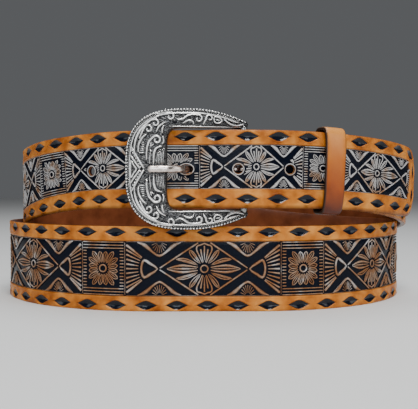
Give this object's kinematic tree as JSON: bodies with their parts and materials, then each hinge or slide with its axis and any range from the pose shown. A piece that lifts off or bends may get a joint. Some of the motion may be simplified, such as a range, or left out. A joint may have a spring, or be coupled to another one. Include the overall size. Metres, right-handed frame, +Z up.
{
  "type": "western belt",
  "caption": "Tooled leather belt with a C-shaped western buckle, buckled and doubled into a two-turn loop that stands on its edge",
  "frame": {"origin": "on the surface that the belt stands on, under the middle of its bounding box", "axes": "+X to the right as seen from the buckle's side, -Y toward the buckle's side, +Z up across the strap"},
  "size_m": [0.23, 0.1368, 0.0995],
  "materials": {
    "leather": "tooled vegetable-tanned leather, tan borders, black dyed ground with rubbed copper highlights",
    "keeper_leather": "smooth glazed tan leather",
    "antique_silver": "engraved, polished on top and blackened in the recesses",
    "polished_metal": "polished, lightly worn",
    "plain_metal": "plain dull metal"
  },
  "bodies": {
    "root": {"strap": "leather", "keeper": "keeper_leather", "buckle_frame": "antique_silver", "prong": "polished_metal", "fold_rivet_1": "plain_metal", "fold_rivet_2": "plain_metal"}
  },
  "joints": []
}
